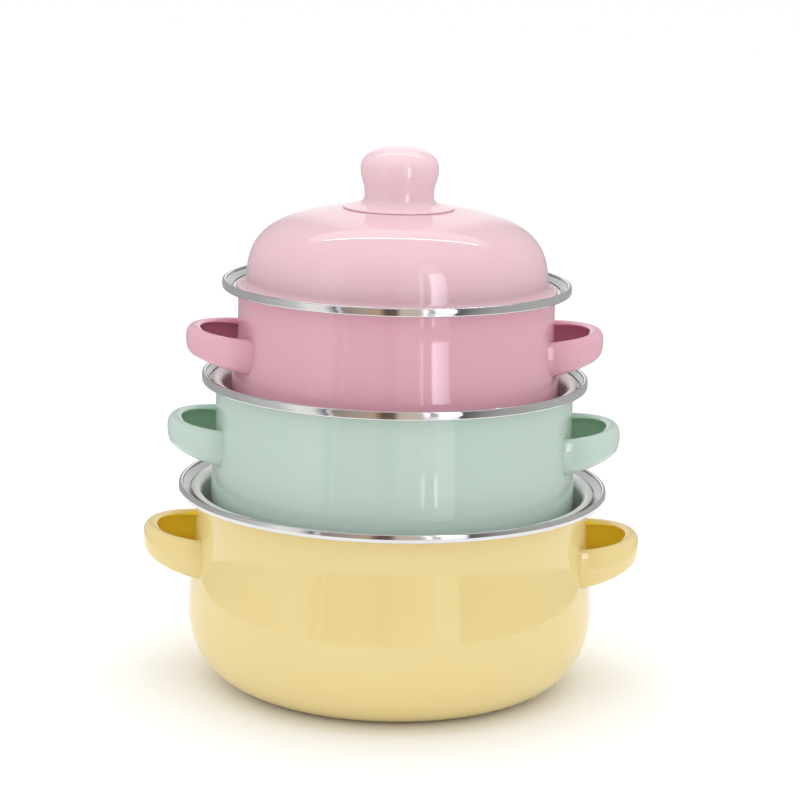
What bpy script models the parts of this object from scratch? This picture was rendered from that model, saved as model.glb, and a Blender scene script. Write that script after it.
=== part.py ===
import math

import bmesh
import bpy
from mathutils import Matrix

# Three enamelled steel casseroles stacked for storage, largest at the bottom.
# The two lower pots carry their own lids upside down, and the next pot stands in each.
# The smallest pot wears its lid the right way up.

MM = 0.001

# Driving dimensions of the pots, largest first
SIZES = ("large", "medium", "small")
RIM_RADIUS = {"large": 106.0 * MM, "medium": 95.0 * MM, "small": 85.5 * MM}
NECK_INSET = {"large": 8.8 * MM, "medium": 7.0 * MM, "small": 7.9 * MM}
BELLY_SWELL = {"large": 3.7 * MM, "medium": 2.0 * MM, "small": 3.0 * MM}
BASE_RADIUS = {"large": 71.5 * MM, "medium": 63.8 * MM, "small": 57.4 * MM}
POT_HEIGHT = {"large": 99.8 * MM, "medium": 94.5 * MM, "small": 84.0 * MM}
BELLY_HEIGHT = {"large": 36.5 * MM, "medium": 33.5 * MM, "small": 31.0 * MM}
NECK_DEPTH = 22.0 * MM       # from the top of the rim down to where the neck starts to swell

# Sheet and fits
WALL = 0.9 * MM              # enamelled steel sheet of the pots and lids
GAP = 0.3 * MM               # left between pieces that touch
LID_CLEARANCE = {"large": 0.8 * MM, "medium": 1.0 * MM, "small": 1.6 * MM}

# Stainless rim, a channel clenched round the flange
RIM_SHEET = 0.5 * MM
RIM_BEVEL = 0.8 * MM         # cut across each corner of the channel
LIP_WIDTH = 2.2 * MM         # raised outer lip
LEDGE_WIDTH = {"large": 3.4 * MM, "medium": 1.9 * MM, "small": 3.1 * MM}
STEP_DEPTH = 1.5 * MM        # from the lip down to the ledge
LEDGE_DROP = 1.4 * MM        # how far the ledge falls towards the pot
CHANNEL_PLAY = 0.45 * MM     # between the flange and the lower leg of the channel
FLANGE_FILLET = 0.8 * MM     # where the flange turns down into the neck

# Lids
LID_HEIGHT = {"large": 47.4 * MM, "medium": 45.0 * MM, "small": 39.9 * MM}
FOOT_WIDTH = 1.2 * MM        # flat of the foot before the cove
COVE = 3.5 * MM              # radius of the cove between foot and dome
LID_LEAN = 1.5 * MM          # how far the side of the dome leans in

# Pressed knob, the same on every lid
KNOB_SHEET = 0.9 * MM
BRIM_RADIUS = 27.4 * MM
BRIM_RISE = 2.0 * MM         # how far the brim climbs towards the neck
KNOB_NECK_RADIUS = 17.1 * MM
KNOB_NECK_HEIGHT = 9.0 * MM
KNOB_HEAD_RADIUS = 19.1 * MM
KNOB_HEAD_HEIGHT = 19.5 * MM
KNOB_HEIGHT = 30.0 * MM

# Stamped loop handles; depths are below the top of the rim
HANDLE_HALF_WIDTH = 34.2 * MM
HANDLE_REACH = {"large": 27.0 * MM, "medium": 24.4 * MM, "small": 25.6 * MM}
HANDLE_ROOT_TOP = 24.8 * MM
HANDLE_TIP_TOP = 22.8 * MM
HANDLE_ROOT_FOOT = {"large": 45.0 * MM, "medium": 43.4 * MM, "small": 42.4 * MM}
HANDLE_TIP_FOOT = {"large": 37.8 * MM, "medium": 36.8 * MM, "small": 36.2 * MM}
HANDLE_SHEET = 1.1 * MM
HANDLE_ROOT_INSET = 3.0 * MM     # how far inside the neck the loop has its full width
HANDLE_BURY = 8.0 * MM           # straight length past that, cut away by the wall
HANDLE_SQUARENESS = 2.15         # 2 would make the loop an ellipse
HANDLE_TURN = {"large": 0.0, "medium": 0.0, "small": 5.5}     # degrees round the pot
# Rails of the loop's section: how far inside the widest one, and how far down its height
HANDLE_RAILS = (
    (7.0 * MM, 0.18),        # lip of the top flange, rolled down
    (5.0 * MM, 0.045),
    (3.1 * MM, 0.0),         # crown
    (1.1 * MM, 0.10),
    (0.1 * MM, 0.29),        # top of the web
    (0.0 * MM, 0.69),        # foot of the web
    (0.9 * MM, 0.92),
    (2.8 * MM, 1.0),         # sole
    (7.0 * MM, 0.96),        # edge of the lower flange
)

# Shape of the curves: how far each end is pulled towards the corner it rounds
ROUND = (0.552, 0.552)
BASE_PULLS = (0.675, 0.445)
DOME_PULLS = (0.55, 0.85)
BRIM_PULLS = (0.8, 0.78)
HEAD_PULLS = (0.62, 0.65)
SWAY_PULL = 0.45             # of a curve that shifts sideways between two upright ends

# Facets
TURN_STEPS = 32
KNOB_STEPS = 16
HANDLE_STEPS = 16
FILLET_STEPS = 2
SWAY_STEPS = 3
BASE_STEPS = 5
DOME_STEPS = 6
BRIM_STEPS = 3
HEAD_STEPS = 4
SHARP_ANGLE = 50.0           # degrees

ENAMEL = {
    "large": (0.80, 0.66, 0.30, 1.0),
    "medium": (0.52, 0.66, 0.56, 1.0),
    "small": (0.72, 0.40, 0.48, 1.0),
}
LID_ENAMEL = {
    "large": (0.84, 0.72, 0.40, 1.0),
    "medium": (0.60, 0.74, 0.64, 1.0),
    "small": (0.82, 0.55, 0.62, 1.0),
}
STEEL = (0.72, 0.72, 0.73, 1.0)
ENAMEL_ROUGHNESS = 0.12
STEEL_ROUGHNESS = 0.15


# Radii that follow from the driving dimensions

def neck_radius(size):
    return RIM_RADIUS[size] - NECK_INSET[size]


def belly_radius(size):
    return neck_radius(size) + BELLY_SWELL[size]


def ledge_radius(size):
    """Inner edge of the steel rim."""
    return RIM_RADIUS[size] - LIP_WIDTH - LEDGE_WIDTH[size]


def lid_radius(size):
    return ledge_radius(size) - LID_CLEARANCE[size]


# Lines are lists of (radius, height)

def curve(start, pull_start, pull_end, end, steps):
    """Points of a cubic curve after its first point."""
    points = []
    for step in range(1, steps + 1):
        t = step / steps
        weights = ((1 - t) ** 3, 3 * (1 - t) ** 2 * t, 3 * (1 - t) * t * t, t ** 3)
        corners = (start, pull_start, pull_end, end)
        points.append(tuple(sum(w * c[axis] for w, c in zip(weights, corners)) for axis in (0, 1)))
    return points


def bend(start, corner, end, pulls, steps):
    """Points after the first of a curve that rounds a corner."""
    pulled = []
    for (x, y), pull in zip((start, end), pulls):
        pulled.append((x + pull * (corner[0] - x), y + pull * (corner[1] - y)))
    return curve(start, pulled[0], pulled[1], end, steps)


def sway(start, end, steps):
    """Points after the first of a curve that leaves and arrives upright."""
    reach = SWAY_PULL * (end[1] - start[1])
    return curve(start, (start[0], start[1] + reach), (end[0], end[1] - reach), end, steps)


def offset_line(points, distance):
    """The line moved to the right of its direction, which is up where it runs inwards."""
    normals = []
    for (x0, y0), (x1, y1) in zip(points, points[1:]):
        length = math.hypot(x1 - x0, y1 - y0)
        normals.append(((y1 - y0) / length, (x0 - x1) / length))
    moved = []
    for index, (x, y) in enumerate(points):
        before = normals[max(index - 1, 0)]
        after = normals[min(index, len(normals) - 1)]
        stretch = 1 + before[0] * after[0] + before[1] * after[1]
        shift_x = (before[0] + after[0]) / stretch
        shift_y = (before[1] + after[1]) / stretch
        moved.append((x + distance * shift_x, y + distance * shift_y))
    return moved


def on_axis(points):
    """The same line with its last point moved onto the axis."""
    return points[:-1] + [(0.0, points[-1][1])]


def turned_over(points):
    return [(radius, -level) for radius, level in points]


def heights_at(line, radius):
    """Every height at which the line crosses a radius."""
    found = []
    for (r0, z0), (r1, z1) in zip(line, line[1:]):
        if min(r0, r1) <= radius <= max(r0, r1):
            share = 0.0 if r0 == r1 else (radius - r0) / (r1 - r0)
            found.append(z0 + share * (z1 - z0))
            if r0 == r1:
                found.append(z1)
    return found


def resting_height(upper, lower):
    """How far the upper line is raised so that it just rests on the lower one."""
    rise = -math.inf
    for radius, _ in list(upper) + list(lower):
        above = heights_at(upper, radius)
        below = heights_at(lower, radius)
        if above and below:
            rise = max(rise, max(below) - min(above))
    return rise


# Profiles of the pieces, each from its outer edge in to the axis unless it says otherwise

def rim_ledge(size):
    """Ledge of the steel rim, from its inner edge out to the foot of the lip."""
    level = POT_HEIGHT[size] - STEP_DEPTH
    return [(ledge_radius(size), level - LEDGE_DROP), (RIM_RADIUS[size] - LIP_WIDTH, level)]


def pot_outside(size):
    """Underside of the flange, neck, belly and base, with the base at height 0."""
    neck, belly = neck_radius(size), belly_radius(size)
    steepness = math.hypot(LEDGE_WIDTH[size], LEDGE_DROP) / LEDGE_WIDTH[size]
    below_ledge = (RIM_SHEET + GAP + WALL) * steepness
    lip_level = POT_HEIGHT[size] - STEP_DEPTH - below_ledge
    seat_level = lip_level - LEDGE_DROP
    neck_foot = POT_HEIGHT[size] - NECK_DEPTH
    belly_level = BELLY_HEIGHT[size]
    line = [
        (RIM_RADIUS[size] - RIM_SHEET - GAP, lip_level),
        (RIM_RADIUS[size] - LIP_WIDTH, lip_level),
        (ledge_radius(size), seat_level),
        (neck + FLANGE_FILLET, seat_level),
    ]
    neck_top = seat_level - FLANGE_FILLET
    line += bend(line[-1], (neck, seat_level), (neck, neck_top), ROUND, FILLET_STEPS)
    line.append((neck, neck_foot))
    line += sway(line[-1], (belly, belly_level), SWAY_STEPS)
    line += bend(line[-1], (belly, 0.0), (BASE_RADIUS[size], 0.0), BASE_PULLS, BASE_STEPS)
    return line + [(0.0, 0.0)]


def pot_inside(size):
    """Top of the flange and the inside of the pot."""
    return on_axis(offset_line(pot_outside(size), WALL))


def rim_top(size):
    """Upper and outer side of the steel rim, from the inner edge of its ledge round to its foot."""
    rim, top = RIM_RADIUS[size], POT_HEIGHT[size]
    flange_underside = pot_outside(size)[0][1]
    foot = flange_underside - CHANNEL_PLAY - RIM_SHEET
    lip = rim - LIP_WIDTH
    return rim_ledge(size) + [
        (lip + RIM_BEVEL, top),
        (rim - RIM_BEVEL, top),
        (rim, top - RIM_BEVEL),
        (rim, foot + RIM_BEVEL),
        (rim - RIM_BEVEL, foot),
        (lip, foot),
    ]


def lid_top(size):
    """Upper side of a lid standing on its foot."""
    edge, crown = lid_radius(size), LID_HEIGHT[size]
    side = edge - FOOT_WIDTH - COVE
    line = [(edge, WALL), (edge - FOOT_WIDTH, WALL)]
    line += bend(line[-1], (side, WALL), (side, WALL + COVE), ROUND, FILLET_STEPS)
    line += bend(line[-1], (side - LID_LEAN, crown), (0.0, crown), DOME_PULLS, DOME_STEPS)
    return line


def lid_under(size):
    return on_axis(offset_line(lid_top(size), -WALL))


def knob_top():
    """Outside of the knob, from the edge of its brim up to its crown."""
    neck, head = KNOB_NECK_RADIUS, KNOB_HEAD_RADIUS
    line = [(BRIM_RADIUS, KNOB_SHEET)]
    line += bend(
        line[-1], (neck, KNOB_SHEET + BRIM_RISE), (neck, KNOB_NECK_HEIGHT), BRIM_PULLS, BRIM_STEPS)
    line += sway(line[-1], (head, KNOB_HEAD_HEIGHT), SWAY_STEPS)
    line += bend(line[-1], (head, KNOB_HEIGHT), (0.0, KNOB_HEIGHT), HEAD_PULLS, HEAD_STEPS)
    return line


def knob_under():
    return on_axis(offset_line(knob_top(), -KNOB_SHEET))


# Where each piece of the stack rests

def lid_seat(size, upturned):
    """Height of a lid's foot plane above the base of its pot."""
    facing_down = turned_over(lid_top(size)) if upturned else lid_under(size)
    return resting_height(facing_down, offset_line(pot_inside(size), GAP))


def pot_seat(size, lid_size):
    """Height of a pot's base above the foot plane of the upturned lid that it stands in."""
    bowl = offset_line(turned_over(lid_under(lid_size)), GAP)
    return resting_height(pot_outside(size), bowl)


def knob_seat(size):
    return resting_height(knob_under(), offset_line(lid_top(size), GAP))


# Building

def clear_scene():
    for item in list(bpy.data.objects):
        bpy.data.objects.remove(item, do_unlink=True)


def add_collection(name):
    collection = bpy.data.collections.new(name)
    bpy.context.scene.collection.children.link(collection)
    return collection


def finish(name, colour, roughness, metallic=0.0):
    material = bpy.data.materials.new(name)
    material.use_nodes = True
    shader = material.node_tree.nodes["Principled BSDF"]
    shader.inputs["Base Color"].default_value = colour
    shader.inputs["Roughness"].default_value = roughness
    shader.inputs["Metallic"].default_value = metallic
    material.diffuse_color = colour
    return material


def turn(name, profile, steps, collection, closed=False):
    """A solid of revolution from a profile that runs down its outer side."""
    mesh = bpy.data.meshes.new(name)
    shape = bmesh.new()
    corners = [shape.verts.new((radius, 0.0, level)) for radius, level in profile]
    for corner, following in zip(corners, corners[1:]):
        shape.edges.new((corner, following))
    if closed:
        shape.edges.new((corners[-1], corners[0]))
    shape.to_mesh(mesh)
    shape.free()
    piece = bpy.data.objects.new(name, mesh)
    collection.objects.link(piece)
    screw = piece.modifiers.new("turning", "SCREW")
    screw.axis = "Z"
    screw.angle = math.tau
    screw.steps = steps
    screw.render_steps = steps
    screw.use_merge_vertices = True
    screw.merge_threshold = 0.01 * MM
    screw.use_smooth_shade = True
    return piece


def place(piece, stand, material, height=0.0):
    piece.parent = stand
    piece.location = (0.0, 0.0, height)
    piece.data.materials.append(material)
    return piece


def add_stand(name, height, collection, upturned=False):
    """An empty on the axis of the stack that carries the pieces of a pot or a lid."""
    stand = bpy.data.objects.new(name, None)
    collection.objects.link(stand)
    stand.location = (0.0, 0.0, height)
    stand.rotation_euler = (math.pi if upturned else 0.0, 0.0, 0.0)
    return stand


def handle_rail(size, rail):
    """Points of one rail of the loop, from one root round the tip to the other."""
    inset, share = rail
    neck = neck_radius(size)
    half_width = HANDLE_HALF_WIDTH - inset
    root = math.sqrt(neck ** 2 - half_width ** 2) - HANDLE_ROOT_INSET
    reach = neck + HANDLE_REACH[size] - inset - root
    root_depth = HANDLE_ROOT_TOP + share * (HANDLE_ROOT_FOOT[size] - HANDLE_ROOT_TOP)
    tip_depth = HANDLE_TIP_TOP + share * (HANDLE_TIP_FOOT[size] - HANDLE_TIP_TOP)
    root_level = POT_HEIGHT[size] - root_depth
    tip_level = POT_HEIGHT[size] - tip_depth
    power = 2.0 / HANDLE_SQUARENESS
    points = [(root - HANDLE_BURY, -half_width, root_level)]
    for step in range(HANDLE_STEPS + 1):
        angle = math.pi * (step / HANDLE_STEPS - 0.5)
        along = max(math.cos(angle), 0.0) ** power
        across = math.copysign(abs(math.sin(angle)) ** power, angle)
        level = root_level + (tip_level - root_level) * along
        points.append((root + reach * along, half_width * across, level))
    points.append((root - HANDLE_BURY, half_width, root_level))
    return points


def build_handle(name, size, side, cutter, collection):
    """One stamped loop, a lofted sheet trimmed to the wall of its pot."""
    mesh = bpy.data.meshes.new(name)
    shape = bmesh.new()
    rails = [[shape.verts.new(point) for point in handle_rail(size, rail)] for rail in HANDLE_RAILS]
    for upper, lower in zip(rails, rails[1:]):
        for step in range(len(upper) - 1):
            shape.faces.new((upper[step], lower[step], lower[step + 1], upper[step + 1]))
    turned = side + math.radians(HANDLE_TURN[size])
    bmesh.ops.transform(shape, matrix=Matrix.Rotation(turned, 4, "Z"), verts=shape.verts)
    shape.to_mesh(mesh)
    shape.free()
    mesh.shade_smooth()
    mesh.set_sharp_from_angle(angle=math.radians(SHARP_ANGLE))
    piece = bpy.data.objects.new(name, mesh)
    collection.objects.link(piece)
    sheet = piece.modifiers.new("sheet", "SOLIDIFY")
    sheet.thickness = HANDLE_SHEET
    sheet.offset = -1.0
    sheet.use_even_offset = True
    trim = piece.modifiers.new("trim to wall", "BOOLEAN")
    trim.operation = "DIFFERENCE"
    trim.solver = "EXACT"
    trim.object = cutter
    return piece


def build_pot(size, stand, parts, cutters):
    """Body, steel rim and two handles of one pot."""
    outside = pot_outside(size)
    body = turn(f"{size}_pot_body", pot_inside(size)[::-1] + outside, TURN_STEPS, parts)
    place(body, stand, finish(f"{size}_pot_enamel", ENAMEL[size], ENAMEL_ROUGHNESS))
    top = rim_top(size)
    channel = top + offset_line(top, RIM_SHEET)[::-1]
    rim = turn(f"{size}_pot_steel_rim", channel, TURN_STEPS, parts, closed=True)
    place(rim, stand, finish(f"{size}_rim_steel", STEEL, STEEL_ROUGHNESS, metallic=1.0))
    grown = on_axis(offset_line(outside, -GAP))
    core = [(0.0, grown[0][1])] + grown
    cutter = turn(f"{size}_wall_cutter", core, TURN_STEPS, cutters)
    cutter.parent = stand
    cutter.hide_render = True
    cutter.display_type = "WIRE"
    for word, side in (("right", 0.0), ("left", math.pi)):
        handle = build_handle(f"{size}_pot_handle_{word}", size, side, cutter, parts)
        enamel = finish(f"{size}_{word}_handle_enamel", ENAMEL[size], ENAMEL_ROUGHNESS)
        place(handle, stand, enamel)


def build_lid(size, stand, parts):
    """Dome and knob of one lid, standing on its foot."""
    dome = turn(f"{size}_lid_dome", lid_top(size)[::-1] + lid_under(size), TURN_STEPS, parts)
    place(dome, stand, finish(f"{size}_lid_enamel", LID_ENAMEL[size], ENAMEL_ROUGHNESS))
    knob = turn(f"{size}_lid_knob", knob_top()[::-1] + knob_under(), KNOB_STEPS, parts)
    enamel = finish(f"{size}_knob_enamel", LID_ENAMEL[size], ENAMEL_ROUGHNESS)
    place(knob, stand, enamel, height=knob_seat(size))


def build_stack():
    parts = add_collection("stacked_casserole_set")
    cutters = add_collection("cutters")
    base = 0.0
    for size, following in zip(SIZES, SIZES[1:] + (None,)):
        pot_stand = add_stand(f"{size}_pot_stand", base, parts)
        build_pot(size, pot_stand, parts, cutters)
        upturned = following is not None
        foot_plane = base + lid_seat(size, upturned)
        lid_stand = add_stand(f"{size}_lid_stand", foot_plane, parts, upturned)
        build_lid(size, lid_stand, parts)
        if following:
            base = foot_plane + pot_seat(following, size)


clear_scene()
build_stack()
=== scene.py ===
import math

import bmesh
import bpy
from mathutils import Matrix, Vector


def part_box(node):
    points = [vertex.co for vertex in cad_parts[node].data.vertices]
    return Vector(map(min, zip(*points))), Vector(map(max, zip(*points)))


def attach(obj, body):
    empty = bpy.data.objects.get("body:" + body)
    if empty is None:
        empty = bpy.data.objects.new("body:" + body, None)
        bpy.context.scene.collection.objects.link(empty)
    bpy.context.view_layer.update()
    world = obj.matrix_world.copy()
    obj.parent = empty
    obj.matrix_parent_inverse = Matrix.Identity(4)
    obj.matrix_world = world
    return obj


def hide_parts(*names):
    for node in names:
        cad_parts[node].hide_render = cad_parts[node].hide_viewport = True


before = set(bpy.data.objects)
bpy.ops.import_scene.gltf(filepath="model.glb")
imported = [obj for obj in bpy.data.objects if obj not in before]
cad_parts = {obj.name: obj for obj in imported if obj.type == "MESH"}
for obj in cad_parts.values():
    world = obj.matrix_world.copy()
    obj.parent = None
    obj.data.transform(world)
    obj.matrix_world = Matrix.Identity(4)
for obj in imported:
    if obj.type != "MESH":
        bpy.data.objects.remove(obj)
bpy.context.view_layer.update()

mm = 0.001
setSizes = ("large", "medium", "small")


# Small helpers for modelling

def deselectAll():
    bpy.ops.object.select_all(action="DESELECT")


def startPiece(name):      # names the primitive just added and opens it for editing
    piece = bpy.context.object
    piece.name = name
    piece.data.name = name
    bpy.ops.object.mode_set(mode="EDIT")
    bpy.ops.mesh.select_all(action="SELECT")
    return piece


sharpAngle = 40      # degrees, from which an edge stays sharp


def closePiece(piece):
    bpy.ops.object.mode_set(mode="OBJECT")
    bpy.ops.object.transform_apply(location=True, rotation=True, scale=True)
    bpy.ops.object.shade_smooth_by_angle(angle=math.radians(sharpAngle))
    return piece


def addModifier(piece, kind, **settings):
    modifier = piece.modifiers.new(kind.lower(), kind)
    for key, value in settings.items():
        setattr(modifier, key, value)
    bpy.ops.object.modifier_apply(modifier=modifier.name)


# Outlines are lists of (radius, height) in metres

def cubic(start, pullStart, pullEnd, end, steps):
    points = []
    for step in range(1, steps + 1):
        t = step / steps
        weights = ((1 - t) ** 3, 3 * (1 - t) ** 2 * t, 3 * (1 - t) * t * t, t ** 3)
        corners = (start, pullStart, pullEnd, end)
        points.append(tuple(sum(w * c[axis] for w, c in zip(weights, corners)) for axis in (0, 1)))
    return points


def bendTo(outline, corner, end, pulls, steps):      # carries the outline round a corner
    start = outline[-1]
    pulled = []
    for point, pull in ((start, pulls[0]), (end, pulls[1])):
        pulled.append(tuple(point[axis] + pull * (corner[axis] - point[axis]) for axis in (0, 1)))
    outline += cubic(start, pulled[0], pulled[1], end, steps)


def swayTo(outline, end, pull, steps):      # leaves and arrives upright
    start = outline[-1]
    reach = pull * (end[1] - start[1])
    outline += cubic(start, (start[0], start[1] + reach), (end[0], end[1] - reach), end, steps)


def sideways(outline, distance):      # to the right of its direction, up where it runs inwards
    normals = []
    for (x0, y0), (x1, y1) in zip(outline, outline[1:]):
        length = math.hypot(x1 - x0, y1 - y0)
        normals.append(((y1 - y0) / length, (x0 - x1) / length))
    moved = []
    for index, (x, y) in enumerate(outline):
        before = normals[max(index - 1, 0)]
        after = normals[min(index, len(normals) - 1)]
        stretch = 1 + before[0] * after[0] + before[1] * after[1]
        moved.append((
            x + distance * (before[0] + after[0]) / stretch,
            y + distance * (before[1] + after[1]) / stretch))
    return moved


def roundedEnd(fromPoint, toPoint, away, steps):      # half circle over the edge of a sheet
    centre = Vector(((fromPoint[0] + toPoint[0]) / 2, (fromPoint[1] + toPoint[1]) / 2))
    arm = Vector(fromPoint) - centre
    outwards = Vector(away).normalized() * arm.length
    points = []
    for step in range(1, steps):
        angle = math.pi * step / steps
        points.append(tuple(centre + arm * math.cos(angle) + outwards * math.sin(angle)))
    return points


sheetEdgeSteps = 6


def sheetSection(line, thickness):      # line runs from the free edge in to the axis
    other = sideways(line, thickness)
    other[-1] = (0.0, other[-1][1])
    away = (line[0][0] - line[1][0], line[0][1] - line[1][1])
    return line[::-1] + roundedEnd(line[0], other[0], away, sheetEdgeSteps) + other


weldDistance = 0.002 * mm      # closes the seam and the poles


def spinOutline(name, outline, steps):
    deselectAll()
    startRadius, startHeight = outline[0]
    bpy.ops.mesh.primitive_plane_add(size=mm, location=(startRadius, 0, startHeight))
    piece = startPiece(name)
    bpy.ops.mesh.merge(type="CENTER")      # one corner, where the outline starts
    for (r0, z0), (r1, z1) in zip(outline, outline[1:]):
        bpy.ops.mesh.extrude_region_move(TRANSFORM_OT_translate={"value": (r1 - r0, 0, z1 - z0)})
    bpy.ops.mesh.select_all(action="SELECT")
    bpy.ops.mesh.spin(steps=steps, angle=math.tau, center=(0, 0, 0), axis=(0, 0, 1))
    bpy.ops.mesh.select_all(action="SELECT")
    bpy.ops.mesh.remove_doubles(threshold=weldDistance)
    bpy.ops.mesh.normals_make_consistent(inside=False)
    return closePiece(piece)


# Materials

def newMaterial(name):
    material = bpy.data.materials.new(name)
    material.use_nodes = True
    return material, material.node_tree.nodes, material.node_tree.links


def addNoise(nodes, links, place, scale, detail=2.0):
    noise = nodes.new("ShaderNodeTexNoise")
    noise.inputs["Scale"].default_value = scale
    noise.inputs["Detail"].default_value = detail
    links.new(place, noise.inputs["Vector"])
    return noise.outputs["Fac"]


def addColourMix(nodes, links, share, first, second):
    mix = nodes.new("ShaderNodeMix")
    mix.data_type = "RGBA"
    mix.inputs[6].default_value = (*first, 1)
    mix.inputs[7].default_value = (*second, 1)
    links.new(share, mix.inputs[0])
    return mix


def addBump(nodes, links, height, strength, depth):
    bump = nodes.new("ShaderNodeBump")
    bump.inputs["Strength"].default_value = strength
    bump.inputs["Distance"].default_value = depth
    links.new(height, bump.inputs["Height"])
    return bump


enamelLook = {
    "glassIndex": 1.52,
    "cloudScale": 14.0,       # of the slow drift in colour, per metre
    "cloudDetail": 4.0,
    "speckScale": 900.0,
    "speckDetail": 1.0,
    "speckLimit": 0.76,
    "speckTint": (0.95, 0.94, 0.93),
    "peelScale": 160.0,       # the slight orange peel of fired glass
    "peelDepth": 0.012,
    "peelStrength": 0.3,
    "rippleScale": 38.0,
    "rippleDepth": 0.05,
    "rippleStrength": 0.35,
    "roughLow": 0.012,
    "roughHigh": 0.05,
}


def enamel(name, colour, deep):
    look = enamelLook
    material, nodes, links = newMaterial(name)
    shader = nodes["Principled BSDF"]
    shader.inputs["IOR"].default_value = look["glassIndex"]
    place = nodes.new("ShaderNodeTexCoord").outputs["Object"]
    clouds = addNoise(nodes, links, place, look["cloudScale"], look["cloudDetail"])
    drift = addColourMix(nodes, links, clouds, colour, deep)
    specks = addNoise(nodes, links, place, look["speckScale"], look["speckDetail"])
    limit = nodes.new("ShaderNodeMath")
    limit.operation = "GREATER_THAN"
    limit.inputs[1].default_value = look["speckLimit"]
    links.new(specks, limit.inputs[0])
    speckled = addColourMix(nodes, links, limit.outputs[0], colour, look["speckTint"])
    speckled.blend_type = "MULTIPLY"
    links.new(drift.outputs[2], speckled.inputs[6])
    links.new(speckled.outputs[2], shader.inputs["Base Color"])
    ripples = addNoise(nodes, links, place, look["rippleScale"])
    gloss = nodes.new("ShaderNodeMapRange")
    gloss.inputs["To Min"].default_value = look["roughLow"]
    gloss.inputs["To Max"].default_value = look["roughHigh"]
    links.new(ripples, gloss.inputs["Value"])
    links.new(gloss.outputs["Result"], shader.inputs["Roughness"])
    peel = addNoise(nodes, links, place, look["peelScale"])
    rippled = addBump(nodes, links, ripples, look["rippleStrength"], look["rippleDepth"] * mm)
    skin = addBump(nodes, links, peel, look["peelStrength"], look["peelDepth"] * mm)
    links.new(rippled.outputs["Normal"], skin.inputs["Normal"])
    links.new(skin.outputs["Normal"], shader.inputs["Normal"])
    return material


lipSteel = {      # the polished outer lip of a rim
    "bright": (0.80, 0.80, 0.81),
    "dull": (0.66, 0.65, 0.65),
    "lineScale": 5200.0,      # polishing lines across the ring, per metre
    "lineDepth": 0.002,
    "smudgeScale": 30.0,
    "roughLow": 0.03,
    "roughHigh": 0.11,
}
shadedLedgeSteel = {      # the ledge inside it, rougher, with a darker tone of painted shade
    "bright": (0.46, 0.46, 0.47),
    "dull": (0.34, 0.33, 0.33),
    "lineScale": 3200.0,
    "lineDepth": 0.006,
    "smudgeScale": 45.0,
    "roughLow": 0.08,
    "roughHigh": 0.22,
}
steelMarks = {      # shared by both
    "smudgeDetail": 5.0,
    "smudgeLow": 0.3,         # the part of the smudges' range that the gloss follows
    "smudgeHigh": 0.7,
    "lineStrength": 0.25,
}


def rolledSteel(name, look):
    material, nodes, links = newMaterial(name)
    shader = nodes["Principled BSDF"]
    shader.inputs["Metallic"].default_value = 1.0
    place = nodes.new("ShaderNodeTexCoord").outputs["Object"]
    smudges = addNoise(nodes, links, place, look["smudgeScale"], steelMarks["smudgeDetail"])
    tone = addColourMix(nodes, links, smudges, look["bright"], look["dull"])
    links.new(tone.outputs[2], shader.inputs["Base Color"])
    gloss = nodes.new("ShaderNodeMapRange")
    gloss.inputs["From Min"].default_value = steelMarks["smudgeLow"]
    gloss.inputs["From Max"].default_value = steelMarks["smudgeHigh"]
    gloss.inputs["To Min"].default_value = look["roughLow"]
    gloss.inputs["To Max"].default_value = look["roughHigh"]
    links.new(smudges, gloss.inputs["Value"])
    links.new(gloss.outputs["Result"], shader.inputs["Roughness"])
    parts = nodes.new("ShaderNodeSeparateXYZ")
    links.new(place, parts.inputs[0])
    flat = nodes.new("ShaderNodeCombineXYZ")
    links.new(parts.outputs["X"], flat.inputs["X"])
    links.new(parts.outputs["Y"], flat.inputs["Y"])
    radius = nodes.new("ShaderNodeVectorMath")
    radius.operation = "LENGTH"
    links.new(flat.outputs[0], radius.inputs[0])
    ringPlace = nodes.new("ShaderNodeCombineXYZ")      # the same all round, so lines run along the ring
    links.new(radius.outputs["Value"], ringPlace.inputs["X"])
    links.new(parts.outputs["Z"], ringPlace.inputs["Y"])
    lines = addNoise(nodes, links, ringPlace.outputs[0], look["lineScale"])
    brushed = addBump(nodes, links, lines, steelMarks["lineStrength"], look["lineDepth"] * mm)
    links.new(brushed.outputs["Normal"], shader.inputs["Normal"])
    return material


enamelColours = {      # colour and its deeper tone, as light reflected
    "largePot": ((0.795, 0.648, 0.300), (0.780, 0.625, 0.272)),
    "mediumPot": ((0.525, 0.645, 0.577), (0.505, 0.630, 0.557)),
    "smallPot": ((0.730, 0.405, 0.485), (0.715, 0.385, 0.465)),
    "largeLid": ((0.800, 0.690, 0.400), (0.785, 0.670, 0.370)),
    "mediumLid": ((0.600, 0.720, 0.650), (0.580, 0.700, 0.630)),
    "smallLid": ((0.765, 0.510, 0.560), (0.750, 0.495, 0.545)),
    "smallKnob": ((0.825, 0.590, 0.630), (0.810, 0.570, 0.615)),
    "inside": ((0.800, 0.800, 0.780), (0.770, 0.770, 0.745)),
    # painted shade and bounced light: the hollow side of the handles gets a deeper, more saturated tone
    "largeLoop": ((0.930, 0.690, 0.040), (0.910, 0.665, 0.030)),
    "mediumLoop": ((0.430, 0.640, 0.450), (0.410, 0.625, 0.430)),
    "smallLoop": ((0.690, 0.290, 0.410), (0.675, 0.270, 0.390)),
}

enamels = {}
for label, (colour, deep) in enamelColours.items():
    enamels[label] = enamel(label + "Enamel", colour, deep)
rimSteels = (rolledSteel("lipSteel", lipSteel), rolledSteel("shadedLedgeSteel", shadedLedgeSteel))
print("materials made")


insideLimits = {      # how far a face turns in, or to the open side, to be pale
    "inwards": 0.25,
    "open": 0.45,
}


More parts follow.
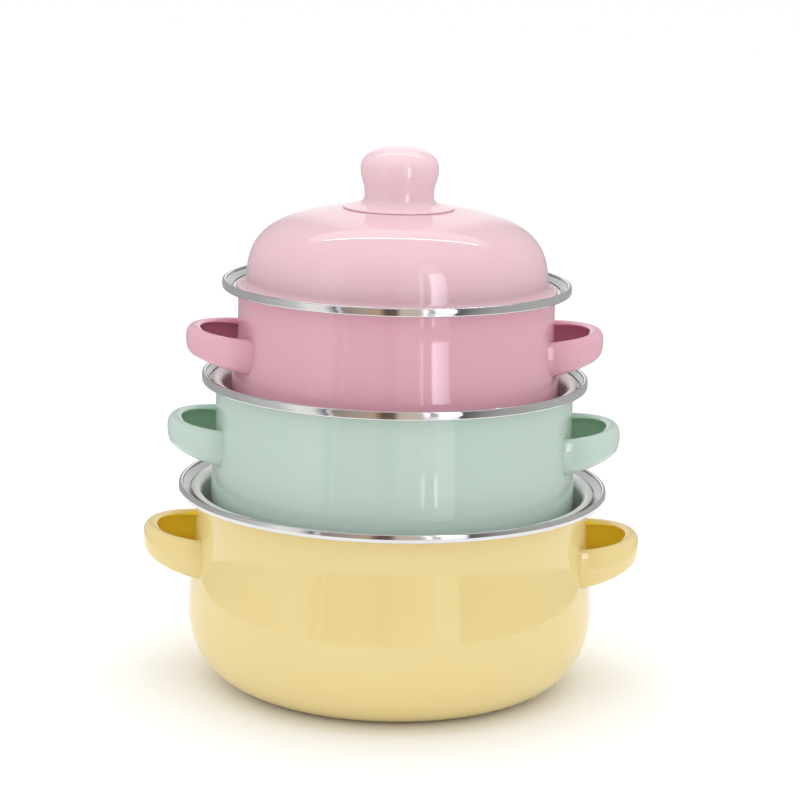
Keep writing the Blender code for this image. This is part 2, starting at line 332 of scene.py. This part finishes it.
def paintInside(piece, outer, facing):      # facing is 1 where the open side is up, and -1 where it is down
    piece.data.materials.append(outer)
    piece.data.materials.append(enamels["inside"])
    for face in piece.data.polygons:
        middle = face.center
        radial = face.normal.x * middle.x + face.normal.y * middle.y
        radius = max(math.hypot(middle.x, middle.y), mm)
        inwards = -radial / radius
        if inwards > insideLimits["inwards"] or face.normal.z * facing > insideLimits["open"]:
            face.material_index = 1


# Places taken from the frame

def topOf(node):
    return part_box(node)[1][2]


def bottomOf(node):
    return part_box(node)[0][2]


def radiusOf(node):
    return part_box(node)[1][0]


# Pot body

potForm = {
    "sheet": 0.9 * mm,
    "neckInset": {"large": 8.8 * mm, "medium": 7.0 * mm, "small": 7.9 * mm},
    "bellySwell": {"large": 3.7 * mm, "medium": 2.0 * mm, "small": 3.0 * mm},
    "bellyHeight": {"large": 36.5 * mm, "medium": 33.5 * mm, "small": 31.0 * mm},
    "baseRadius": {"large": 71.5 * mm, "medium": 63.8 * mm, "small": 57.4 * mm},
    "neckDepth": 22.0 * mm,
    "ledgeWidth": {"large": 3.4 * mm, "medium": 1.9 * mm, "small": 3.1 * mm},
    "lipWidth": 2.2 * mm,
    "stepDepth": 1.5 * mm,
    "ledgeDrop": 1.4 * mm,
    "flangeFillet": 1.2 * mm,
    "wallPull": 0.45,
    "basePulls": (0.675, 0.445),
    "baseRecess": 0.5 * mm,       # the middle of the base is pressed up a little
    "recessRun": 1.5 * mm,        # width of the slope up to it
    "baseBand": 7.0 * mm,         # ring that the pot stands on
    "clearance": 0.3 * mm,
    "filletSteps": 6,
    "wallSteps": 14,
    "baseSteps": 26,
    "recessSteps": 6,
    "steps": 160,
}
roundPulls = (0.552, 0.552)


def ledgeLine(size):      # top of the steel ledge, from its inner edge out
    rim = radiusOf(size + "_pot_steel_rim")
    level = topOf(size + "_pot_steel_rim") - potForm["stepDepth"]
    lip = rim - potForm["lipWidth"]
    return [(lip - potForm["ledgeWidth"][size], level - potForm["ledgeDrop"]), (lip, level)]


def potOutline(size):      # outside of the pot, from the edge of its flange to the axis
    base = bottomOf(size + "_pot_body")
    rim = radiusOf(size + "_pot_steel_rim")
    neck = rim - potForm["neckInset"][size]
    belly = neck + potForm["bellySwell"][size]
    ledge = ledgeLine(size)
    width, drop = potForm["ledgeWidth"][size], potForm["ledgeDrop"]
    below = (ringForm["sheet"] + potForm["clearance"] + potForm["sheet"]) * math.hypot(width, drop) / width
    seat = ledge[0][1] - below
    fillet = potForm["flangeFillet"]
    neckFoot = topOf(size + "_pot_steel_rim") - potForm["neckDepth"]
    bellyLevel = base + potForm["bellyHeight"][size]
    outline = [(radiusOf(size + "_pot_body") - potForm["sheet"] / 2, ledge[1][1] - below)]
    outline += [(ledge[1][0], ledge[1][1] - below), (ledge[0][0], seat), (neck + fillet, seat)]
    bendTo(outline, (neck, seat), (neck, seat - fillet), roundPulls, potForm["filletSteps"])
    outline.append((neck, neckFoot))
    swayTo(outline, (belly, bellyLevel), potForm["wallPull"], potForm["wallSteps"])
    flat = potForm["baseRadius"][size]
    bendTo(outline, (belly, base), (flat, base), potForm["basePulls"], potForm["baseSteps"])
    recess = potForm["baseRecess"]
    foot = flat - potForm["baseBand"]
    inner = foot - potForm["recessRun"]
    outline.append((foot, base))
    outline += cubic(
        (foot, base), (foot - recess, base), (inner + recess, base + recess), (inner, base + recess),
        potForm["recessSteps"])
    outline.append((0.0, base + recess))
    return outline


flangePoints = 4      # points of the outline before its fillet


def wallRadius(size, height):      # outside of the wall at a height
    outline = potOutline(size)[flangePoints:]
    for (r0, z0), (r1, z1) in zip(outline, outline[1:]):
        if z1 <= height <= z0:
            return r0 + (r1 - r0) * (height - z0) / (z1 - z0)
    return outline[0][0]


ringForm = {
    "sheet": 0.5 * mm,
    "ledgeEnd": 0.3 * mm,       # where the ledge starts to turn up
    "stepRise": 0.1 * mm,
    "stepLean": 0.15 * mm,
    "lipLean": 0.2 * mm,
    "lipCrown": 1.1 * mm,       # highest line of the lip, from its inner edge
    "lipRound": 0.9 * mm,
    "bulge": 0.12 * mm,         # the outer face is slightly crowned
    "bulgePull": 0.3,
    "footRound": 1.0 * mm,
    "ledgeReach": 0.25 * mm,    # how far the ledge steel, darkened by painted shade, goes up the lip
    "cornerSteps": 6,
    "sideSteps": 5,
    "edgeSteps": 4,
    "steps": 192,
}


def makePot(size):
    outline = potOutline(size)
    body = spinOutline(size + "PotBody", sheetSection(outline, potForm["sheet"]), potForm["steps"])
    paintInside(body, enamels[size + "Pot"], facing=1)
    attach(body, size + "_pot")
    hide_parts(size + "_pot_body")


def makeRing(size):
    rim = radiusOf(size + "_pot_steel_rim")
    top = topOf(size + "_pot_steel_rim")
    foot = bottomOf(size + "_pot_steel_rim")
    lip = rim - potForm["lipWidth"]
    rounding, footRound = ringForm["lipRound"], ringForm["footRound"]
    outer = rim - ringForm["bulge"]
    pull, corners, sides = ringForm["bulgePull"], ringForm["cornerSteps"], ringForm["sideSteps"]
    line = ledgeLine(size)
    ledge = line[1][1]
    line[1] = (lip - ringForm["ledgeEnd"], ledge)
    stepTop = (lip + ringForm["stepLean"], top - rounding)
    bendTo(line, (lip, ledge + ringForm["stepRise"]), stepTop, roundPulls, sides)
    bendTo(line, (lip + ringForm["lipLean"], top), (lip + ringForm["lipCrown"], top), roundPulls, corners)
    bendTo(line, (outer, top), (outer, top - rounding), roundPulls, corners)
    swayTo(line, (rim, (top + foot) / 2), pull, sides)
    swayTo(line, (outer, foot + footRound), pull, sides)
    bendTo(line, (outer, foot), (outer - footRound, foot), roundPulls, corners)
    line.append((lip, foot))
    other = sideways(line, ringForm["sheet"])[::-1]
    start = (line[0][0] - line[1][0], line[0][1] - line[1][1])
    end = (-1.0, 0.0)
    outline = line + roundedEnd(line[-1], other[0], end, ringForm["edgeSteps"]) + other
    outline += roundedEnd(other[-1], line[0], start, ringForm["edgeSteps"]) + [line[0]]
    ring = spinOutline(size + "SteelRing", outline, ringForm["steps"])
    for steel in rimSteels:
        ring.data.materials.append(steel)
    for face in ring.data.polygons:      # all that lies inside the lip gets the ledge steel, darkened by painted shade
        if math.hypot(face.center.x, face.center.y) < lip + ringForm["ledgeReach"]:
            face.material_index = 1
    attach(ring, size + "_pot")
    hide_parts(size + "_pot_steel_rim")


# Lids, upright or upturned

lidForm = {
    "sheet": 0.9 * mm,
    "footWidth": 1.2 * mm,
    "cove": 3.5 * mm,
    "lean": 1.5 * mm,
    "domePulls": {"large": (0.55, 0.85), "medium": (0.55, 0.85), "small": (0.60, 0.88)},
    "coveSteps": 8,
    "domeSteps": 48,
    "steps": 160,
}

knobForm = {
    "sheet": 0.9 * mm,
    "brimRadius": 27.4 * mm,
    "brimRise": 2.0 * mm,
    "neckRadius": 16.9 * mm,
    "neckHeight": 6.6 * mm,
    "headRadius": 19.1 * mm,
    "headHeight": 19.5 * mm,
    "height": 30.0 * mm,
    "brimPulls": (0.89, 0.88),
    "waistPull": 0.45,
    "headPulls": (0.62, 0.65),
    "brimSteps": 16,
    "waistSteps": 12,
    "headSteps": 26,
    "steps": 112,
}


def makeLid(size, upturned):
    dome = size + "_lid_dome"
    edge = radiusOf(dome)
    height = topOf(dome) - bottomOf(dome)
    side = edge - lidForm["footWidth"] - lidForm["cove"]
    sheet = lidForm["sheet"]
    line = [(edge - sheet / 2, sheet), (edge - lidForm["footWidth"], sheet)]
    bendTo(line, (side, sheet), (side, sheet + lidForm["cove"]), roundPulls, lidForm["coveSteps"])
    shoulder = (side - lidForm["lean"], height)
    bendTo(line, shoulder, (0.0, height), lidForm["domePulls"][size], lidForm["domeSteps"])
    section = sheetSection(line, -sheet)
    footPlane = topOf(dome) if upturned else bottomOf(dome)
    sign = -1 if upturned else 1
    section = [(radius, footPlane + sign * level) for radius, level in section]
    lid = spinOutline(size + "LidDome", section, lidForm["steps"])
    paintInside(lid, enamels[size + "Lid"], facing=-sign)
    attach(lid, size + "_lid")
    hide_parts(dome)


def makeKnob(size, upturned):
    node = size + "_lid_knob"
    neck, head, height = knobForm["neckRadius"], knobForm["headRadius"], knobForm["height"]
    sheet = knobForm["sheet"]
    line = [(knobForm["brimRadius"] - sheet / 2, sheet)]
    corner, waist = (neck, sheet + knobForm["brimRise"]), (neck, knobForm["neckHeight"])
    bendTo(line, corner, waist, knobForm["brimPulls"], knobForm["brimSteps"])
    swayTo(line, (head, knobForm["headHeight"]), knobForm["waistPull"], knobForm["waistSteps"])
    bendTo(line, (head, height), (0.0, height), knobForm["headPulls"], knobForm["headSteps"])
    section = sheetSection(line, -sheet)
    sign = -1 if upturned else 1
    crown = bottomOf(node) if upturned else topOf(node)
    section = [(radius, crown + sign * (level - height)) for radius, level in section]
    knob = spinOutline(size + "LidKnob", section, knobForm["steps"])
    knob.data.materials.append(enamels["smallKnob" if size == "small" else size + "Lid"])
    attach(knob, size + "_lid")
    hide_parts(node)


# Stamped loop handles

handleForm = {
    "halfWidth": 34.2 * mm,
    "reach": {"large": 27.0 * mm, "medium": 24.4 * mm, "small": 25.6 * mm},
    "rootTop": 24.8 * mm,
    "tipTop": 22.8 * mm,
    "rootFoot": {"large": 45.0 * mm, "medium": 43.4 * mm, "small": 42.4 * mm},
    "tipFoot": {"large": 37.8 * mm, "medium": 36.8 * mm, "small": 36.2 * mm},
    "turn": {"large": 0.0, "medium": 0.0, "small": 5.5},
    "sheet": 1.1 * mm,
    "inWall": 0.35 * mm,      # how deep the roots go into the wall
    "arcSteps": 40,
    "rails": (                # inside the widest rail, and share of the height at the root and the tip
        (7.0 * mm, 0.18, 0.07), (5.0 * mm, 0.045, 0.01), (3.1 * mm, 0.0, 0.0), (1.1 * mm, 0.10, 0.10),
        (0.1 * mm, 0.29, 0.29), (0.0, 0.69, 0.69), (0.9 * mm, 0.92, 0.92), (2.8 * mm, 1.0, 1.0),
        (7.0 * mm, 0.96, 0.96)),
    "smoothLevels": 2,
    "edgeRound": 0.35 * mm,
    "edgeSegments": 3,
    "edgeAngle": 50,          # degrees, as is the next
    "shadeAngle": 60,
    "heartShare": 0.3,        # the hollow side looks to this point, as a share of the reach
    "hollowTurn": 0.55,       # how far its faces turn to that point
    "hollowSlope": 0.8,       # and how little up or down
}
cutSlack = 0.01 * mm


def handleRail(size, inset, share, tipShare):
    top = topOf(size + "_pot_steel_rim")
    rootTop, tipTop = handleForm["rootTop"], handleForm["tipTop"]
    rootLevel = top - rootTop - share * (handleForm["rootFoot"][size] - rootTop)
    tipLevel = top - tipTop - tipShare * (handleForm["tipFoot"][size] - tipTop)
    halfWidth = handleForm["halfWidth"] - inset
    wall = wallRadius(size, rootLevel) - handleForm["inWall"]
    root = math.sqrt(wall ** 2 - halfWidth ** 2)
    neck = radiusOf(size + "_pot_steel_rim") - potForm["neckInset"][size]
    tip = neck + handleForm["reach"][size] - inset
    return {
        "root": root, "reach": tip - root, "halfWidth": halfWidth, "level": rootLevel,
        "tilt": math.atan2(tipLevel - rootLevel, tip - root)}


def tiltSelected(angle, rail):      # lifts the tip about the line through both roots
    centre = (rail["root"], 0, rail["level"])
    bpy.ops.transform.rotate(value=angle, orient_axis="Y", orient_type="GLOBAL", center_override=centre)


def makeHandle(size, word, side):
    rails = [handleRail(size, *rail) for rail in handleForm["rails"]]
    first = rails[0]
    deselectAll()
    bpy.ops.mesh.primitive_circle_add(
        vertices=2 * handleForm["arcSteps"], radius=first["halfWidth"],
        location=(first["root"], 0, first["level"]))
    handle = startPiece(size + word + "Handle")
    shape = bmesh.from_edit_mesh(handle.data)
    for corner in shape.verts:
        corner.select_set(corner.co.x < -cutSlack)
    bmesh.update_edit_mesh(handle.data)
    bpy.ops.mesh.delete(type="VERT")
    bpy.ops.mesh.select_all(action="SELECT")
    bpy.ops.transform.resize(
        value=(first["reach"] / first["halfWidth"], 1, 1), center_override=(first["root"], 0, first["level"]))
    tiltSelected(first["tilt"], first)
    for before, after in zip(rails, rails[1:]):
        bpy.ops.mesh.extrude_region_move(TRANSFORM_OT_translate={"value": (0, 0, 0)})
        tiltSelected(-before["tilt"], before)
        bpy.ops.transform.resize(
            value=(after["reach"] / before["reach"], after["halfWidth"] / before["halfWidth"], 1),
            center_override=(before["root"], 0, before["level"]))
        bpy.ops.transform.translate(
            value=(after["root"] - before["root"], 0, after["level"] - before["level"]))
        tiltSelected(after["tilt"], after)
    bpy.ops.mesh.select_all(action="SELECT")
    bpy.ops.mesh.normals_make_consistent(inside=False)
    shape = bmesh.from_edit_mesh(handle.data)
    tipFace = max(shape.faces, key=lambda face: face.calc_center_median().x)
    if tipFace.normal.x < 0:
        bpy.ops.mesh.flip_normals()
    bpy.ops.object.mode_set(mode="OBJECT")
    bpy.ops.object.transform_apply(location=True, rotation=True, scale=True)
    levels = handleForm["smoothLevels"]
    addModifier(handle, "SUBSURF", levels=levels, render_levels=levels, boundary_smooth="PRESERVE_CORNERS")
    addModifier(handle, "SOLIDIFY", thickness=handleForm["sheet"], offset=-1.0, use_even_offset=True)
    addModifier(
        handle, "BEVEL", width=handleForm["edgeRound"], segments=handleForm["edgeSegments"],
        limit_method="ANGLE", angle_limit=math.radians(handleForm["edgeAngle"]))
    handle.rotation_euler.z = side + math.radians(handleForm["turn"][size])
    bpy.ops.object.transform_apply(location=True, rotation=True, scale=True)
    bpy.ops.object.shade_smooth_by_angle(angle=math.radians(handleForm["shadeAngle"]))
    handle.data.materials.append(enamels[size + "Pot"])
    # the second slot holds the painted shade of the hollow side
    handle.data.materials.append(enamels[size + "Loop"])
    outwards = Vector((math.cos(side), math.sin(side), 0))
    heartRadius = first["root"] + handleForm["heartShare"] * first["reach"]
    heart = outwards * heartRadius + Vector((0, 0, first["level"]))
    # faces that look into the hollow of the loop get the painted shade colour
    for face in handle.data.polygons:
        turn = (heart - face.center).normalized().dot(face.normal)
        if turn > handleForm["hollowTurn"] and abs(face.normal.z) < handleForm["hollowSlope"]:
            face.material_index = 1
    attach(handle, size + "_pot")
    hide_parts(f"{size}_pot_handle_{word.lower()}")


for size in setSizes:
    makePot(size)
    makeRing(size)
    for word, side in (("Right", 0.0), ("Left", math.pi)):
        makeHandle(size, word, side)
    upturned = size != "small"
    makeLid(size, upturned)
    makeKnob(size, upturned)
    print(size, "pot, ring, handles and lid made")


# Floor, light and camera

studio = {
    "floor": 0.97,
    "floorRough": 0.9,
    "floorSize": 40.0,
    "worldStrength": 1.03,
    "topSize": 1.1,
    "topPlace": (0, 0.1, 1.5),
    "topPower": 5.0,
    "wallDistance": 0.38,
    "wallSides": 128,
    "ceilingHeight": 0.82,
}


def makeFloor():
    deselectAll()
    bpy.ops.mesh.primitive_plane_add(size=studio["floorSize"], location=(0, 0, 0))
    floor = bpy.context.object
    floor.name = "studioFloor"
    material, nodes, links = newMaterial("paleFloor")
    shader = nodes["Principled BSDF"]
    shader.inputs["Base Color"].default_value = (studio["floor"], studio["floor"], studio["floor"], 1)
    shader.inputs["Roughness"].default_value = studio["floorRough"]
    shader.inputs["Specular IOR Level"].default_value = 0.0
    floor.data.materials.append(material)


def makeWorld():
    world = bpy.data.worlds.new("studioWorld")
    world.use_nodes = True
    background = world.node_tree.nodes["Background"]
    background.inputs["Color"].default_value = (1, 1, 1, 1)
    background.inputs["Strength"].default_value = studio["worldStrength"]
    bpy.context.scene.world = world


def makeTopLight():
    deselectAll()
    bpy.ops.object.light_add(type="AREA", location=studio["topPlace"])
    lamp = bpy.context.object
    lamp.name = "topLight"
    lamp.data.size = studio["topSize"]
    lamp.data.energy = studio["topPower"]
    lamp.visible_camera = False
    lamp.visible_glossy = False


# The gloss of the enamel and the steel shows a wall that stands round the pots, as in a product studio.
# Each stop is degrees to the right of the front, then the light that the wall sends back there
leftStops = (
    (-168, (1.0, 1.0, 1.0)), (-160, (0.42, 0.43, 0.42)), (-95, (0.46, 0.47, 0.46)), (-62, (0.68, 0.68, 0.68)),
    (-52, (1.0, 0.99, 0.95)), (-42, (0.95, 0.94, 0.90)), (-37, (0.40, 0.40, 0.42)), (-35, (0.15, 0.15, 0.17)),
    (-33, (1.0, 1.0, 1.0)), (-31, (0.34, 0.30, 0.27)), (-18, (0.48, 0.39, 0.33)), (-10, (0.60, 0.42, 0.30)),
    (-6, (0.15, 0.10, 0.08)), (0, (0.17, 0.12, 0.11)), (3, (0.70, 0.57, 0.49)), (15.4, (0.70, 0.60, 0.53)))
rightStops = (
    (34.6, (0.15, 0.14, 0.14)), (38, (0.16, 0.15, 0.15)), (48, (0.33, 0.32, 0.32)), (60, (0.44, 0.44, 0.43)),
    (97, (0.52, 0.53, 0.51)), (160, (0.42, 0.43, 0.42)), (168, (1.0, 1.0, 1.0)))
wallBands = {      # from the floor up: foot, top, and the stops of the slit and the window in it
    "lowWall": (0.0, 0.083, (
        (15.8, (1.1, 1.05, 1.05)), (17.8, (1.1, 1.05, 1.05)), (18.2, (0.9, 0.85, 0.85)),
        (22.8, (1.0, 0.96, 0.96)), (23.2, (1.4, 1.4, 1.45)), (34.0, (1.2, 1.2, 1.25)))),
    "middleWall": (0.083, 0.107, (
        (15.8, (3.6, 3.6, 3.6)), (17.8, (3.6, 3.6, 3.6)), (18.2, (0.50, 0.48, 0.48)),
        (22.8, (0.60, 0.58, 0.58)), (23.2, (5.6, 5.6, 5.7)), (24.6, (5.6, 5.6, 5.7)),
        (25.0, (1.5, 1.5, 1.5)), (34.0, (1.3, 1.3, 1.3)))),
    "plainWall": (0.107, 0.119, ((18.0, (0.50, 0.48, 0.48)), (34.0, (0.50, 0.48, 0.48)))),
    "highWall": (0.119, 0.41, (
        (15.8, (3.4, 3.2, 3.4)), (17.8, (3.4, 3.2, 3.4)), (18.2, (0.50, 0.48, 0.48)),
        (22.6, (0.60, 0.58, 0.58)), (23.0, (7.4, 7.0, 7.6)), (26.2, (6.6, 6.2, 6.8)),
        (34.0, (2.8, 2.6, 3.0)))),
    "upperWall": (0.41, 0.62, ((18.0, (1.3, 1.3, 1.35)), (34.0, (1.3, 1.3, 1.35)))),
}
wallPeak = 8.0      # the ramp holds shares of this
overheadCards = {      # left, front, right, back in metres, and light
    "ceilingCard": (-0.7, -0.5, 0.7, 0.285, (0.72, 0.71, 0.72)),
    "tubeCard": (-0.325, 0.285, 0.36, 0.302, (14.0, 14.0, 14.0)),
    "backCard": (-1.6, 0.305, 1.6, 2.4, (1.4, 1.42, 1.46)),
}


def onlyForGloss(card):
    card.visible_camera = False
    card.visible_diffuse = False
    card.visible_shadow = False
    card.visible_transmission = False
    card.visible_volume_scatter = False


def wallLight(name, stops):
    material, nodes, links = newMaterial(name + "Light")
    coords = nodes.new("ShaderNodeTexCoord")
    parts = nodes.new("ShaderNodeSeparateXYZ")
    links.new(coords.outputs["Object"], parts.inputs[0])
    front = nodes.new("ShaderNodeMath")
    front.operation = "MULTIPLY"
    front.inputs[1].default_value = -1.0
    links.new(parts.outputs["Y"], front.inputs[0])
    bearing = nodes.new("ShaderNodeMath")      # 0 in front, more to the right
    bearing.operation = "ARCTAN2"
    links.new(parts.outputs["X"], bearing.inputs[0])
    links.new(front.outputs[0], bearing.inputs[1])
    along = nodes.new("ShaderNodeMapRange")
    along.inputs["From Min"].default_value = -math.pi
    along.inputs["From Max"].default_value = math.pi
    links.new(bearing.outputs[0], along.inputs["Value"])
    ramp = nodes.new("ShaderNodeValToRGB")
    links.new(along.outputs["Result"], ramp.inputs[0])
    elements = ramp.color_ramp.elements
    for index, (degrees, light) in enumerate(stops):
        place = (degrees + 180) / 360
        if index < 2:
            elements[index].position = place
        else:
            elements.new(place)
        elements[index].color = (*(value / wallPeak for value in light), 1)
    glow = nodes.new("ShaderNodeEmission")
    glow.inputs["Strength"].default_value = wallPeak
    links.new(ramp.outputs["Color"], glow.inputs["Color"])
    links.new(glow.outputs[0], nodes["Material Output"].inputs["Surface"])
    return material


def makeWalls():
    for name, (foot, top, window) in wallBands.items():
        deselectAll()
        bpy.ops.mesh.primitive_cylinder_add(
            vertices=studio["wallSides"], radius=studio["wallDistance"], depth=top - foot,
            end_fill_type="NOTHING", location=(0, 0, (foot + top) / 2))
        wall = bpy.context.object
        wall.name = name
        wall.data.materials.append(wallLight(name, leftStops + window + rightStops))
        onlyForGloss(wall)


def makeOverheadCards():
    for name, (left, front, right, back, light) in overheadCards.items():
        deselectAll()
        bpy.ops.mesh.primitive_plane_add(
            size=1, location=((left + right) / 2, (front + back) / 2, studio["ceilingHeight"]))
        card = bpy.context.object
        card.name = name
        card.scale = (right - left, back - front, 1)
        material, nodes, links = newMaterial(name + "Light")
        glow = nodes.new("ShaderNodeEmission")
        glow.inputs["Color"].default_value = (*light, 1)
        links.new(glow.outputs[0], nodes["Material Output"].inputs["Surface"])
        card.data.materials.append(material)
        onlyForGloss(card)


photoView = {
    "lens": 107.25,
    "place": (2.8 * mm, -1153.9 * mm, 380.1 * mm),
    "pitch": 11.72,      # degrees down
    "roll": 1.4,
    "sensor": 36.0,
    "clipStart": 0.01,
}


def makeCamera():
    bpy.ops.object.camera_add(location=photoView["place"])
    camera = bpy.context.object
    camera.name = "photoCamera"
    camera.data.lens = photoView["lens"]
    camera.data.sensor_width = photoView["sensor"]
    camera.data.clip_start = photoView["clipStart"]
    pitch = math.radians(90 - photoView["pitch"])
    turned = Matrix.Rotation(pitch, 4, "X") @ Matrix.Rotation(math.radians(photoView["roll"]), 4, "Z")
    camera.matrix_world = Matrix.Translation(photoView["place"]) @ turned
    bpy.context.scene.camera = camera


makeFloor()
makeWorld()
makeTopLight()
makeWalls()
makeOverheadCards()
makeCamera()
bpy.context.scene.view_settings.view_transform = "Standard"
print("studio set")
